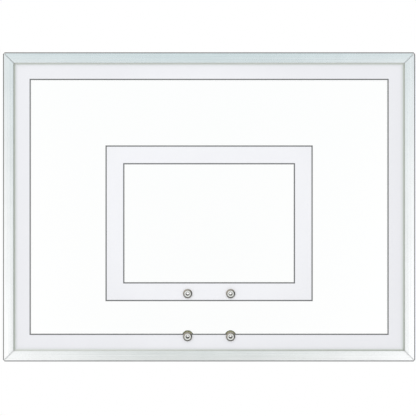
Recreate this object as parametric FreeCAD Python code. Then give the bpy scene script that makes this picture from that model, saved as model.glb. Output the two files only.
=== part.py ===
import FreeCAD, Part
import math
import os

# Framed glass basketball backboard, in millimetres.
# X runs to the right as seen from the court, Y runs away from the court, Z runs up.
# The origin is the middle of the rear mounting holes, on the rear face of the corner plates.

# Frame rails: mitred lengths of one extrusion with a glass pocket and a slotted chamber behind it
BOARD_WIDTH = 1219.2
BOARD_HEIGHT = 914.4
RAIL_DEPTH = 44.45
RAIL_FACE_WIDTH = 31.75
RAIL_WALL = 3.2
RAIL_FRONT_RADIUS = 4.5
FRAME_CORNER_RADIUS = 7.0
MITRE_GAP = 0.8

# Glass panel
GLASS_THICKNESS = 12.7
GLASS_EDGE_COVER = 15.875
GLASS_ARRIS = 0.8
GLASS_HOLE_DIAMETER = 22.2

# Vinyl channel gasket round the glass
GASKET_WALL = 3.2
GASKET_BEAD_WIDTH = 4.0
GASKET_BEAD_TIP = 1.0
GASKET_RIB_WIDTH = 2.4
GASKET_RIB_HEIGHT = 0.9
GASKET_RIB_INSET = 8.0
RIB_CLEARANCE = 0.1

# Blocks that carry and centre the glass inside the rails
SETTING_BLOCK_LENGTH = 100.0
SETTING_BLOCK_OFFSET = 304.8
SIDE_BLOCK_LENGTH = 60.0
SIDE_BLOCK_OFFSET = 254.0
BLOCK_SIDE_CLEARANCE = 0.4

# Fired enamel markings on the front of the glass
ENAMEL_THICKNESS = 0.3
BORDER_WIDTH = 80.0
BORDER_KEYLINE_WIDTH = 3.6
TARGET_WIDTH = 609.6
TARGET_HEIGHT = 457.2
TARGET_LINE_WIDTH = 52.3
TARGET_KEYLINE_WIDTH = 3.8
TARGET_RISE = 180.0
ENAMEL_CUTOUT_CLEARANCE = 0.2

# Corner keys in the rail chambers, corner plates behind the rails and the screws that join them
KEY_THICKNESS = 8.0
KEY_CLEARANCE = 0.2
KEY_END_MARGIN = 30.0
KEY_CROP = 3.0
PLATE_THICKNESS = 4.7625
PLATE_INSET = 2.0
PLATE_LEG_WIDTH = 62.0
PLATE_LEG_LENGTH = 165.0
PLATE_CROP = 10.0
MOUNT_HOLE_DIAMETER = 13.5
MOUNT_HOLE_INSET = 53.975
SCREW_PLACE = 110.0
SCREW_SHANK_DIAMETER = 8.0
SCREW_OVERRUN = 2.0
SCREW_HEAD_WIDTH = 13.0
SCREW_HEAD_HEIGHT = 5.3
SCREW_HOLE_CLEARANCE = 0.3
THREAD_CLEARANCE = 0.1

# Flanged bushings that the goal is bolted through
GOAL_HOLE_SPACING = 127.0
GOAL_HOLE_RISE = 73.6
BUSHING_BORE_DIAMETER = 8.8
BUSHING_TUBE_DIAMETER = 16.0
BUSHING_FLANGE_DIAMETER = 27.5
BUSHING_FACE_DIAMETER = 18.6
BUSHING_RIM_HEIGHT = 2.4
BUSHING_FLANGE_HEIGHT = 5.5
BUSHING_OVERRUN = 1.0
SLEEVE_FLANGE_DIAMETER = 26.8
SLEEVE_FLANGE_THICKNESS = 1.6
SLEEVE_CLEARANCE = 0.15
REAR_WASHER_DIAMETER = 34.0
REAR_WASHER_THICKNESS = 2.4
NUT_HEX_WIDTH = 24.0
NUT_HEIGHT = 8.0

# Places that follow from the sizes above; those across a rail are measured inward from its outer face
POCKET_DEPTH = GLASS_THICKNESS + 2 * GASKET_WALL
RAIL_REAR = -PLATE_THICKNESS
RAIL_MIDDLE = RAIL_FACE_WIDTH / 2
FRAME_FRONT = RAIL_REAR - RAIL_DEPTH
GLASS_FRONT = FRAME_FRONT + RAIL_WALL + GASKET_WALL
GLASS_REAR = GLASS_FRONT + GLASS_THICKNESS
GLASS_EDGE = RAIL_FACE_WIDTH - GLASS_EDGE_COVER
GASKET_BACK = GLASS_EDGE - GASKET_WALL
GASKET_TIP = RAIL_FACE_WIDTH + GASKET_BEAD_WIDTH
RIB_CENTRE = RAIL_FACE_WIDTH - GASKET_RIB_INSET
SLOT_WIDTH = SCREW_SHANK_DIAMETER + 2 * SCREW_HOLE_CLEARANCE
KEY_REAR = RAIL_REAR - RAIL_WALL
KEY_FRONT = KEY_REAR - KEY_THICKNESS
KEY_LEG_LENGTH = SCREW_PLACE + KEY_END_MARGIN
BUSHING_SEAT = GLASS_FRONT - SLEEVE_FLANGE_THICKNESS
NUT_SEAT = GLASS_REAR + REAR_WASHER_THICKNESS
NUT_REAR = NUT_SEAT + NUT_HEIGHT
SLEEVE_BORE_DIAMETER = BUSHING_TUBE_DIAMETER + 2 * SLEEVE_CLEARANCE

BACK = FreeCAD.Vector(0, 1, 0)
CENTRE = FreeCAD.Vector(0, 0, 0)

# Turn about Y that carries a bottom piece to each side of the frame
SIDE_TURN = {"bottom": 0, "left": 90, "top": 180, "right": -90}
# Direction of each corner, or of each goal hole, from the middle: X then Z
QUARTERS = {"upper_left": (-1, 1), "upper_right": (1, 1), "lower_left": (-1, -1), "lower_right": (1, -1)}


def eased_wire(corners, cropped=False):
    """Closed wire through (point, size) corners, each rounded to a radius or cropped flat by its size."""
    starts = []
    ends = []
    edges = []
    for index, (point, size) in enumerate(corners):
        before = (corners[index - 1][0] - point).normalize()
        after = (corners[(index + 1) % len(corners)][0] - point).normalize()
        half_angle = before.getAngle(after) / 2
        setback = size / math.tan(half_angle)
        starts.append(point + before * setback)
        ends.append(point + after * setback)
        if size > 0 and cropped:
            edges.append(Part.LineSegment(starts[-1], ends[-1]).toShape())
        elif size > 0:
            inward = (before + after).normalize()
            middle = point + inward * (size / math.sin(half_angle) - size)
            edges.append(Part.Arc(starts[-1], middle, ends[-1]).toShape())
    for index, end in enumerate(ends):
        edges.append(Part.LineSegment(end, starts[(index + 1) % len(starts)]).toShape())
    return Part.Wire(Part.__sortEdges__(edges))


def prism(corners, sweep, cropped=False):
    """Solid swept straight from an eased outline."""
    return Part.Face(eased_wire(corners, cropped)).extrude(sweep)


def turned(points, place):
    """Solid of revolution about an axis along Y at an (x, z) place, from (radius, y) points."""
    outline = [(FreeCAD.Vector(radius, y, 0), 0) for radius, y in points]
    solid = Part.Face(eased_wire(outline)).revolve(CENTRE, BACK, 360)
    solid.translate(FreeCAD.Vector(place[0], 0, place[1]))
    return solid


def rod(diameter, front, rear, place):
    """Plain cylinder along Y at an (x, z) place."""
    return Part.makeCylinder(diameter / 2, rear - front, FreeCAD.Vector(place[0], front, place[1]), BACK)


def hexagon(width, front, rear, place):
    """Hexagonal prism along Y at an (x, z) place, measured across its flats."""
    reach = width / 2 / math.cos(math.pi / 6)
    corners = []
    for step in range(6):
        turn = step * math.pi / 3
        x = place[0] + reach * math.cos(turn)
        z = place[1] + reach * math.sin(turn)
        corners.append((FreeCAD.Vector(x, front, z), 0))
    return prism(corners, BACK * (rear - front))


def panel(width, height, centre_z, front, rear):
    """Upright rectangular slab centred on X."""
    corner = FreeCAD.Vector(-width / 2, front, centre_z - height / 2)
    return Part.makeBox(width, rear - front, height, corner)


def side_run(side):
    """Length of a frame side and the distance of its outer face from the middle of the board."""
    if side in ("top", "bottom"):
        return BOARD_WIDTH, BOARD_HEIGHT / 2
    return BOARD_HEIGHT, BOARD_WIDTH / 2


def side_bar(side, section, start, length):
    """Bar along a side, still laid at the bottom, from (inward, depth, radius) section corners."""
    reach = side_run(side)[1]
    corners = []
    for inward, depth, radius in section:
        corners.append((FreeCAD.Vector(start, FRAME_FRONT + depth, inward - reach), radius))
    return prism(corners, FreeCAD.Vector(length, 0, 0))


def to_side(side, piece):
    """Turn a piece that was laid at the bottom to its side of the frame."""
    piece.rotate(CENTRE, BACK, SIDE_TURN[side])
    return piece


def mitred_bar(side, section):
    """Bar of one side with both ends cut at 45 degrees, in its place."""
    length, reach = side_run(side)
    cut_in = 2 * GASKET_TIP
    outer = length / 2 - MITRE_GAP / math.sqrt(2)
    inner = outer - cut_in
    outline = [(-outer, -reach), (outer, -reach), (inner, cut_in - reach), (-inner, cut_in - reach)]
    corners = [(FreeCAD.Vector(x, FRAME_FRONT, z), 0) for x, z in outline]
    bar = side_bar(side, section, -length / 2, length)
    return to_side(side, bar.common(prism(corners, BACK * RAIL_DEPTH)))


def corner_place(quarter, across, along):
    """The (x, z) place at two distances inward from the outer faces of the frame's corner."""
    sign_x, sign_z = QUARTERS[quarter]
    return sign_x * (BOARD_WIDTH / 2 - across), sign_z * (BOARD_HEIGHT / 2 - along)


def corner_angle(quarter, near, far, leg, crop, front, rear):
    """L-shaped flat bar in a corner, with every corner of its outline cropped."""
    outline = [(near, near), (leg, near), (leg, far), (far, far), (far, leg), (near, leg)]
    corners = []
    for across, along in outline:
        x, z = corner_place(quarter, across, along)
        inner_elbow = (across, along) == (far, far)
        corners.append((FreeCAD.Vector(x, front, z), 0 if inner_elbow else crop))
    return prism(corners, BACK * (rear - front), cropped=True)


def screw_places(quarter):
    """Places of the plate screws of one corner, on the middle lines of its two rails."""
    return [corner_place(quarter, SCREW_PLACE, RAIL_MIDDLE), corner_place(quarter, RAIL_MIDDLE, SCREW_PLACE)]


def goal_hole(quarter):
    """Place of one goal hole."""
    sign_x, sign_z = QUARTERS[quarter]
    middle = GOAL_HOLE_RISE + GOAL_HOLE_SPACING / 2 - BOARD_HEIGHT / 2
    return sign_x * GOAL_HOLE_SPACING / 2, middle + sign_z * GOAL_HOLE_SPACING / 2


def goal_holes(diameter, front, rear):
    """Round cutters at the four goal holes."""
    return [rod(diameter, front, rear, goal_hole(quarter)) for quarter in QUARTERS]


def frame_envelope():
    """Outer block of the frame with its four rounded corners."""
    block = panel(BOARD_WIDTH, BOARD_HEIGHT, 0, FRAME_FRONT, RAIL_REAR)
    upright = [edge for edge in block.Edges if edge.BoundBox.YLength > RAIL_DEPTH / 2]
    return block.makeFillet(FRAME_CORNER_RADIUS, upright)


def rib_groove(face_depth, floor_depth):
    """Corners of the groove that grips a gasket rib, from its inner edge to its outer edge."""
    half = GASKET_RIB_WIDTH / 2 + RIB_CLEARANCE
    inner = RIB_CENTRE + half
    outer = RIB_CENTRE - half
    return [(inner, face_depth, 0), (inner, floor_depth, 0), (outer, floor_depth, 0), (outer, face_depth, 0)]


def rail_chamber():
    """Corners of the chamber behind the glass pocket, with the screw slot through the rear wall."""
    front = 2 * RAIL_WALL + POCKET_DEPTH
    rear = RAIL_DEPTH - RAIL_WALL
    inner = RAIL_FACE_WIDTH - RAIL_WALL
    slot_inner = RAIL_MIDDLE + SLOT_WIDTH / 2
    slot_outer = RAIL_MIDDLE - SLOT_WIDTH / 2
    inner_half = [(slot_inner, RAIL_DEPTH, 0), (slot_inner, rear, 0), (inner, rear, 0), (inner, front, 0)]
    outer_half = [(RAIL_WALL, front, 0), (RAIL_WALL, rear, 0), (slot_outer, rear, 0), (slot_outer, RAIL_DEPTH, 0)]
    return inner_half + outer_half


def rail_section():
    """Section of the rail: face lip, glass pocket with its two rib grooves, and slotted chamber."""
    groove = GASKET_RIB_HEIGHT + RIB_CLEARANCE
    web = RAIL_WALL + POCKET_DEPTH
    lip = [(0, 0, RAIL_FRONT_RADIUS), (RAIL_FACE_WIDTH, 0, 0), (RAIL_FACE_WIDTH, RAIL_WALL, 0)]
    front_groove = rib_groove(RAIL_WALL, RAIL_WALL - groove)
    pocket = [(RAIL_WALL, RAIL_WALL, 0), (RAIL_WALL, web, 0)]
    rear_groove = rib_groove(web, web + groove)[::-1]
    inner_wall = [(RAIL_FACE_WIDTH, web, 0), (RAIL_FACE_WIDTH, RAIL_DEPTH, 0)]
    return lip + front_groove + pocket + rear_groove + inner_wall + rail_chamber() + [(0, RAIL_DEPTH, 0)]


def rail(side):
    """One mitred length of the frame extrusion."""
    return mitred_bar(side, rail_section()).common(frame_envelope())


def gasket_leg(face_depth, glass_depth):
    """Corners of one gasket leg, from the back of the channel round its bead to the glass edge."""
    outward = math.copysign(1, face_depth - glass_depth)
    crest = face_depth + outward * GASKET_RIB_HEIGHT
    half = GASKET_RIB_WIDTH / 2
    return [
        (GASKET_BACK, face_depth, 0),
        (RIB_CENTRE - half, face_depth, 0),
        (RIB_CENTRE - half, crest, 0),
        (RIB_CENTRE + half, crest, 0),
        (RIB_CENTRE + half, face_depth, 0),
        (RAIL_FACE_WIDTH, face_depth, 0),
        (GASKET_TIP, glass_depth + outward * GASKET_BEAD_TIP, 0),
        (GASKET_TIP, glass_depth, 0),
        (GLASS_EDGE, glass_depth, 0),
    ]


def gasket(side):
    """Vinyl channel over one edge of the glass, with a rib and a visible bead on each leg."""
    web = RAIL_WALL + POCKET_DEPTH
    front = gasket_leg(RAIL_WALL, RAIL_WALL + GASKET_WALL)
    rear = gasket_leg(web, web - GASKET_WALL)
    return mitred_bar(side, front + rear[::-1])


def glass_panel():
    """Tempered panel with arrissed edges and four goal holes."""
    sheet = panel(*board_inset(GLASS_EDGE), 0, GLASS_FRONT, GLASS_REAR)
    sheet = sheet.makeChamfer(GLASS_ARRIS, sheet.Edges)
    return sheet.cut(goal_holes(GLASS_HOLE_DIAMETER, GLASS_FRONT, GLASS_REAR))


def glass_block(side, length, offset):
    """Block between the rail's outer wall and the gasket, centred at an offset along the side."""
    front = RAIL_WALL + BLOCK_SIDE_CLEARANCE
    rear = RAIL_WALL + POCKET_DEPTH - BLOCK_SIDE_CLEARANCE
    section = [(RAIL_WALL, front, 0), (GASKET_BACK, front, 0), (GASKET_BACK, rear, 0), (RAIL_WALL, rear, 0)]
    return to_side(side, side_bar(side, section, offset - length / 2, length))


def setting_blocks():
    """Two blocks in the bottom rail that carry the weight of the glass."""
    offsets = (-SETTING_BLOCK_OFFSET, SETTING_BLOCK_OFFSET)
    return [glass_block("bottom", SETTING_BLOCK_LENGTH, offset) for offset in offsets]


def side_blocks():
    """Four blocks in the side rails that centre the glass."""
    offsets = (-SIDE_BLOCK_OFFSET, SIDE_BLOCK_OFFSET)
    return [glass_block(side, SIDE_BLOCK_LENGTH, offset) for side in ("left", "right") for offset in offsets]


def board_inset(inset):
    """Width and height of the board less an inset on every side."""
    return BOARD_WIDTH - 2 * inset, BOARD_HEIGHT - 2 * inset


def target_inset(inset):
    """Width and height of the shooter's square less an inset on every side."""
    return TARGET_WIDTH - 2 * inset, TARGET_HEIGHT - 2 * inset


def enamel_ring(outer, inner, centre_z):
    """Rectangular band of enamel on the glass, open round the flanges of the bushing sleeves."""
    front = GLASS_FRONT - ENAMEL_THICKNESS
    band = panel(*outer, centre_z, front, GLASS_FRONT).cut(panel(*inner, centre_z, front, GLASS_FRONT))
    cutout = SLEEVE_FLANGE_DIAMETER + 2 * ENAMEL_CUTOUT_CLEARANCE
    return band.cut(goal_holes(cutout, front, GLASS_FRONT))


def enamel_markings():
    """Border band and shooter's square, each with thin dark keylines along its free edges."""
    border_edge = BORDER_WIDTH - BORDER_KEYLINE_WIDTH / 2
    half = TARGET_KEYLINE_WIDTH / 2
    line = TARGET_LINE_WIDTH
    target_z = TARGET_RISE + TARGET_HEIGHT / 2 - BOARD_HEIGHT / 2
    border_inner = board_inset(border_edge + BORDER_KEYLINE_WIDTH)
    return {
        "border_stripe": enamel_ring(board_inset(GASKET_TIP), board_inset(border_edge), 0),
        "border_keyline": enamel_ring(board_inset(border_edge), border_inner, 0),
        "target_outer_keyline": enamel_ring(target_inset(-half), target_inset(half), target_z),
        "target_stripe": enamel_ring(target_inset(half), target_inset(line - half), target_z),
        "target_inner_keyline": enamel_ring(target_inset(line - half), target_inset(line + half), target_z),
    }


def corner_key(quarter):
    """L-shaped key in the chambers of two rails, drawn against their rear walls by the plate screws."""
    near = RAIL_WALL + KEY_CLEARANCE
    far = RAIL_FACE_WIDTH - RAIL_WALL - KEY_CLEARANCE
    key = corner_angle(quarter, near, far, KEY_LEG_LENGTH, KEY_CROP, KEY_FRONT, KEY_REAR)
    tapped = SCREW_SHANK_DIAMETER + 2 * THREAD_CLEARANCE
    return key.cut([rod(tapped, KEY_FRONT, KEY_REAR, place) for place in screw_places(quarter)])


def corner_plate(quarter):
    """L-shaped steel plate behind a corner, with the wall bolt hole in its elbow."""
    far = PLATE_INSET + PLATE_LEG_WIDTH
    plate = corner_angle(quarter, PLATE_INSET, far, PLATE_LEG_LENGTH, PLATE_CROP, RAIL_REAR, 0)
    mount_place = corner_place(quarter, MOUNT_HOLE_INSET, MOUNT_HOLE_INSET)
    plate = plate.cut(rod(MOUNT_HOLE_DIAMETER, RAIL_REAR, 0, mount_place))
    clear = SCREW_SHANK_DIAMETER + 2 * SCREW_HOLE_CLEARANCE
    return plate.cut([rod(clear, RAIL_REAR, 0, place) for place in screw_places(quarter)])


def corner_screw(place):
    """Hexagon head screw through a plate and a rail slot into a key."""
    head = hexagon(SCREW_HEAD_WIDTH, 0, SCREW_HEAD_HEIGHT, place)
    return head.fuse(rod(SCREW_SHANK_DIAMETER, KEY_FRONT - SCREW_OVERRUN, 0, place))


def goal_bushing(quarter):
    """Bushing with a bevelled front flange, a tube through the glass and a clear bore."""
    bore = BUSHING_BORE_DIAMETER / 2
    tube = BUSHING_TUBE_DIAMETER / 2
    rim = BUSHING_FLANGE_DIAMETER / 2
    face = BUSHING_SEAT - BUSHING_FLANGE_HEIGHT
    end = NUT_REAR + BUSHING_OVERRUN
    points = [
        (bore, face),
        (BUSHING_FACE_DIAMETER / 2, face),
        (rim, BUSHING_SEAT - BUSHING_RIM_HEIGHT),
        (rim, BUSHING_SEAT),
        (tube, BUSHING_SEAT),
        (tube, end),
        (bore, end),
    ]
    return turned(points, goal_hole(quarter))


def bushing_sleeve(quarter):
    """Nylon sleeve that keeps a bushing off the glass, in the hole and under the front flange."""
    bore = SLEEVE_BORE_DIAMETER / 2
    body = GLASS_HOLE_DIAMETER / 2 - SLEEVE_CLEARANCE
    flange = SLEEVE_FLANGE_DIAMETER / 2
    points = [
        (bore, BUSHING_SEAT),
        (flange, BUSHING_SEAT),
        (flange, GLASS_FRONT),
        (body, GLASS_FRONT),
        (body, GLASS_REAR),
        (bore, GLASS_REAR),
    ]
    return turned(points, goal_hole(quarter))


def rear_washer(quarter):
    """Fibre washer between a bushing nut and the rear of the glass."""
    place = goal_hole(quarter)
    disc = rod(REAR_WASHER_DIAMETER, GLASS_REAR, NUT_SEAT, place)
    return disc.cut(rod(SLEEVE_BORE_DIAMETER, GLASS_REAR, NUT_SEAT, place))


def bushing_nut(quarter):
    """Hexagon nut that clamps a bushing from behind the glass."""
    place = goal_hole(quarter)
    tapped = BUSHING_TUBE_DIAMETER + 2 * THREAD_CLEARANCE
    return hexagon(NUT_HEX_WIDTH, NUT_SEAT, NUT_REAR, place).cut(rod(tapped, NUT_SEAT, NUT_REAR, place))


def build():
    """Every piece of the backboard by name; a list holds separate solids of one kind."""
    pieces = {"glass_panel": glass_panel()}
    pieces.update(enamel_markings())
    for side in SIDE_TURN:
        pieces[side + "_rail"] = rail(side)
        pieces[side + "_gasket"] = gasket(side)
    for quarter in QUARTERS:
        pieces["corner_key_" + quarter] = corner_key(quarter)
        pieces["corner_plate_" + quarter] = corner_plate(quarter)
    pieces["corner_screws"] = [corner_screw(place) for quarter in QUARTERS for place in screw_places(quarter)]
    pieces["setting_blocks"] = setting_blocks()
    pieces["side_blocks"] = side_blocks()
    pieces["goal_bushings"] = [goal_bushing(quarter) for quarter in QUARTERS]
    pieces["bushing_sleeves"] = [bushing_sleeve(quarter) for quarter in QUARTERS]
    pieces["rear_washers"] = [rear_washer(quarter) for quarter in QUARTERS]
    pieces["bushing_nuts"] = [bushing_nut(quarter) for quarter in QUARTERS]
    return pieces


os.makedirs("parts", exist_ok=True)
for name, shape in build().items():
    solid = Part.makeCompound(shape) if isinstance(shape, list) else shape
    solid.exportStep("parts/" + name + ".step")
    print(name, len(solid.Solids), round(solid.Volume, 1), solid.isValid())
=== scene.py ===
"""Dressed scene of a framed glass basketball backboard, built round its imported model.

Lengths are in metres. X runs to the right as seen from the court, Y runs away from the court and Z runs up.
A place across a rail is given as its distance inward from the frame's outer face, and a depth as its distance
behind the front face of the frame. The pitch or stretch of a pattern is its frequency per metre, and a relief
is the strength and height of a bump.
"""

import logging
import math
from dataclasses import dataclass
from enum import Enum
from typing import Any, Callable, Sequence

import bmesh
import bpy
from mathutils import Matrix, Vector

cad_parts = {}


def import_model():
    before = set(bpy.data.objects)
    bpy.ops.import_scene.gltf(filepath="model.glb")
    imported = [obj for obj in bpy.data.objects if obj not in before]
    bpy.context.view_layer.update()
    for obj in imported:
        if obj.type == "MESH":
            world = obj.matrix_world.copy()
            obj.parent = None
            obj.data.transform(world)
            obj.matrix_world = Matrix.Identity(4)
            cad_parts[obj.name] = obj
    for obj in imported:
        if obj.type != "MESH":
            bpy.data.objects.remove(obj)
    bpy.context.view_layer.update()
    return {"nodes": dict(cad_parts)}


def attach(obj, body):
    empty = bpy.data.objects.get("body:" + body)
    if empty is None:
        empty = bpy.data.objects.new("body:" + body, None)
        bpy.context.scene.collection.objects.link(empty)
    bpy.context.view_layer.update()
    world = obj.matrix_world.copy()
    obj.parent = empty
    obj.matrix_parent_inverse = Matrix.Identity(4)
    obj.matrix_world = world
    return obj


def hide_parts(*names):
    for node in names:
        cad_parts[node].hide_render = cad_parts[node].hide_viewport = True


LOG = logging.getLogger("backboard")
BODY = "root"
MM = 0.001
RUN_MAP = "Run"
SMOOTH_LIMIT = math.radians(32)
CONE_LEAN = math.tan(math.radians(30))
QUARTER_TURN = math.pi / 2
SIXTH_TURN = math.pi / 3
WELD = 0.001 * MM
FINE_WELD = 0.0005 * MM
ROUND_PROFILE = 0.5
NOISE_MIDDLE = 0.5
FINE_DETAIL = 2.0
PLAIN_DETAIL = 3.0
RICH_DETAIL = 4.0
WHITE = (1.0, 1.0, 1.0, 1.0)

Pair = tuple[float, float]
Place = tuple[float, float]
Range = tuple[float, float]
Triple = tuple[float, float, float]
Corner = tuple[float, float, float]
Colour = tuple[float, float, float]
Rgba = tuple[float, float, float, float]
RingLine = Callable[[float], Place]
Socket = bpy.types.NodeSocket
Outputs = bpy.types.NodeOutputs
Number = float | Socket
Tone = Rgba | Socket


class Side(Enum):
    """A side of the frame, with the turn about Y that carries a bottom piece to it, in degrees."""

    BOTTOM = 0
    LEFT = 90
    TOP = 180
    RIGHT = -90

    @property
    def word(self) -> str:
        """Name of the side as the nodes spell it."""
        return self.name.lower()

    @property
    def level(self) -> bool:
        """Whether the side runs along X."""
        return self in (Side.BOTTOM, Side.TOP)


class Quarter(Enum):
    """A corner of the board, as the nodes spell it."""

    UPPER_LEFT = "upper_left"
    UPPER_RIGHT = "upper_right"
    LOWER_LEFT = "lower_left"
    LOWER_RIGHT = "lower_right"


@dataclass(frozen=True)
class Board:
    """Overall sizes that the finishes and sub-assemblies share."""

    width: float = 1219.2 * MM
    height: float = 914.4 * MM
    frame_front: float = -49.2125 * MM
    glass_front: float = -42.8125 * MM
    glass_rear: float = -30.1125 * MM
    glass_edge: float = 15.875 * MM
    rail_face: float = 31.75 * MM
    rail_wall: float = 3.2 * MM
    pocket: float = 19.1 * MM
    rib_inset: float = 8.0 * MM
    mitre_gap: float = 0.8 * MM
    touch: float = 0.03 * MM

    def run(self, side: Side) -> Pair:
        """Length of a side, and how far its outer face is from the middle of the board."""
        return (self.width, self.height / 2) if side.level else (self.height, self.width / 2)


BOARD = Board()


class Graph:
    """A node tree with short ways to add and join its nodes."""

    def __init__(self, tree: bpy.types.NodeTree) -> None:
        """Take over a tree and empty it."""
        self.tree = tree
        self.tree.nodes.clear()

    def add(self, kind: str, inputs: dict[str | int, Any] | None = None, **settings: Any) -> bpy.types.Node:
        """Add a node.

        Args:
            kind: The node's type name.
            inputs: Values, or sockets to link, for its inputs by name or index.
            settings: Values for the node's own properties.

        Returns:
            The new node.
        """
        node = self.tree.nodes.new(kind)
        for key, value in settings.items():
            setattr(node, key, value)
        for key, value in (inputs or {}).items():
            if isinstance(value, Socket):
                self.tree.links.new(value, node.inputs[key])
            else:
                node.inputs[key].default_value = value
        return node

    def math(self, operation: str, first: Number, second: Number = 0.0) -> Socket:
        """Result of a sum on two numbers or sockets."""
        return self.add("ShaderNodeMath", {0: first, 1: second}, operation=operation).outputs[0]

    def weigh(self, first: Socket, second: Socket, share: float) -> Socket:
        """Mean of two numbers, with this share of the first."""
        part = self.math("MULTIPLY", first, share)
        return self.math("ADD", part, self.math("MULTIPLY", second, 1.0 - share))

    def blend(self, factor: Number, first: Tone, second: Tone) -> Socket:
        """Colour between two colours or sockets."""
        node = self.add("ShaderNodeMix", {0: factor, 6: first, 7: second}, data_type="RGBA")
        return node.outputs[2]

    def span(self, value: Number, low: float, high: float, start: float = 0.0, end: float = 1.0) -> Socket:
        """Number carried from the range start to end on to the range low to high."""
        inputs = {"Value": value, "From Min": start, "From Max": end, "To Min": low, "To Max": high}
        return self.add("ShaderNodeMapRange", inputs).outputs[0]

    def axes(self, where: Socket) -> Outputs:
        """The coordinates of a place, by the letters X, Y and Z."""
        return self.add("ShaderNodeSeparateXYZ", {0: where}).outputs

    def noise(self, where: Socket, stretch: Triple, detail: float = PLAIN_DETAIL) -> Socket:
        """Fractal noise with its own frequency along each axis."""
        spread = self.add("ShaderNodeMapping", {"Vector": where, "Scale": stretch}).outputs[0]
        return self.add("ShaderNodeTexNoise", {"Vector": spread, "Scale": 1.0, "Detail": detail}).outputs[0]

    def mottle(self, pitch: float, detail: float = PLAIN_DETAIL) -> Socket:
        """Fractal noise through the piece, with one frequency along every axis."""
        return self.noise(self.object_place(), (pitch,) * 3, detail)

    def bump(self, height: Socket, strength: float, distance: float) -> Socket:
        """Normal raised by a height pattern."""
        inputs = {"Height": height, "Strength": strength, "Distance": distance}
        return self.add("ShaderNodeBump", inputs).outputs[0]

    def object_place(self) -> Socket:
        """Place on the piece in its own coordinates."""
        return self.add("ShaderNodeTexCoord").outputs["Object"]

    def run_place(self) -> Socket:
        """Place on the piece along and across its run."""
        return self.add("ShaderNodeUVMap", uv_map=RUN_MAP).outputs[0]

    def inset(self, axes: Outputs, half_width: float, half_height: float) -> Socket:
        """How far a place lies inside a rectangle round the middle of the board.

        Args:
            axes: Coordinates of the place.
            half_width: Half the rectangle's size along X.
            half_height: Half its size along Z.

        Returns:
            The distance to the nearest side.
        """
        beside = self.math("SUBTRACT", half_width, self.math("ABSOLUTE", axes["X"]))
        above = self.math("SUBTRACT", half_height, self.math("ABSOLUTE", axes["Z"]))
        return self.math("MINIMUM", beside, above)

    def surface(self, inputs: dict[str, Any]) -> None:
        """End a material's tree in a principled surface with these inputs."""
        shader = self.add("ShaderNodeBsdfPrincipled", inputs)
        self.add("ShaderNodeOutputMaterial", {"Surface": shader.outputs[0]})


def rgba(colour: Colour) -> Rgba:
    """Colour with full cover."""
    return (*colour, 1.0)


@dataclass(frozen=True, kw_only=True)
class Finish:
    """A surface finish: the record's material slot and the colours that it is mixed from."""

    slot: str
    dark: Colour
    light: Colour

    def title(self) -> str:
        """Name of the finish's material."""
        return self.slot + "_finish"

    def material(self) -> bpy.types.Material:
        """Make the finish's material on first use.

        Returns:
            The material.
        """
        made = bpy.data.materials.get(self.title())
        if made is None:
            made = bpy.data.materials.new(self.title())
            made.use_nodes = True
            self.paint(Graph(made.node_tree))
        return made

    def toned(self, graph: Graph, pattern: Socket, start: float = 0.0, end: float = 1.0) -> Socket:
        """Colour that goes from dark to light while a pattern goes from start to end."""
        return graph.blend(graph.span(pattern, 0.0, 1.0, start, end), rgba(self.dark), rgba(self.light))

    def paint(self, graph: Graph) -> None:
        """Lay the finish's nodes; each kind of finish has its own."""
        raise NotImplementedError


@dataclass(frozen=True, kw_only=True)
class ClearGlass(Finish):
    """Polished glass with the faintest haze."""

    refraction: float = 1.5
    haze_pitch: float = 6.0
    haze_range: Range = (0.45, 0.75)
    haze_roughness: float = 0.012

    def paint(self, graph: Graph) -> None:
        """Lay the nodes.

        Args:
            graph: Tree of the finish's material.
        """
        haze = graph.mottle(self.haze_pitch)
        graph.surface({
            "Base Color": self.toned(graph, haze),
            "Roughness": graph.span(haze, 0.0, self.haze_roughness, *self.haze_range),
            "IOR": self.refraction,
            "Transmission Weight": 1.0,
        })


@dataclass(frozen=True, kw_only=True)
class FiredEnamel(Finish):
    """Enamel fired on glass: finely pebbled, with painted light near the middle and painted shade beside the
    gasket.
    """

    # Colour of the painted shade beside the gasket.
    painted_shading_tone: Colour
    painted_shade_reach: Pair = (573.85 * MM, 423.95 * MM)
    painted_shade_width: float = 10.0 * MM
    painted_shade_falloff: float = 1.5
    # Painted light makes the enamel paler near the middle, fading out between these two radii.
    painted_light_radius: float = 300.0 * MM
    painted_light_fade_radius: float = 480.0 * MM
    cloud_pitch: float = 9.0
    cloud_share: float = 0.6
    pebble_pitch: float = 900.0
    pebble_relief: Pair = (0.12, 0.02 * MM)
    roughness: Range = (0.24, 0.36)

    def painted_shade_share(self, graph: Graph, where: Socket) -> Socket:
        """Share of painted shade: most of it beside the gasket, none further in than the shade's width."""
        inset = graph.inset(graph.axes(where), *self.painted_shade_reach)
        return graph.math("POWER", graph.span(inset, 1.0, 0.0, 0.0, self.painted_shade_width), self.painted_shade_falloff)

    def paint(self, graph: Graph) -> None:
        """Lay the nodes.

        Args:
            graph: Tree of the finish's material.
        """
        where = graph.object_place()
        off = graph.add("ShaderNodeVectorMath", {0: where}, operation="LENGTH").outputs["Value"]
        # Painted light: paler near the middle of the board.
        pale = graph.span(off, 1.0, 0.0, self.painted_light_radius, self.painted_light_fade_radius)
        cloud = graph.math("SUBTRACT", graph.mottle(self.cloud_pitch), NOISE_MIDDLE)
        tone = graph.math("ADD", pale, graph.math("MULTIPLY", cloud, self.cloud_share))
        pebble = graph.mottle(self.pebble_pitch, FINE_DETAIL)
        graph.surface({
            # Painted shade greys the enamel beside the gasket.
            "Base Color": graph.blend(self.painted_shade_share(graph, where), self.toned(graph, tone), rgba(self.painted_shading_tone)),
            "Roughness": graph.span(pebble, *self.roughness),
            "Normal": graph.bump(pebble, *self.pebble_relief),
        })


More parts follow.
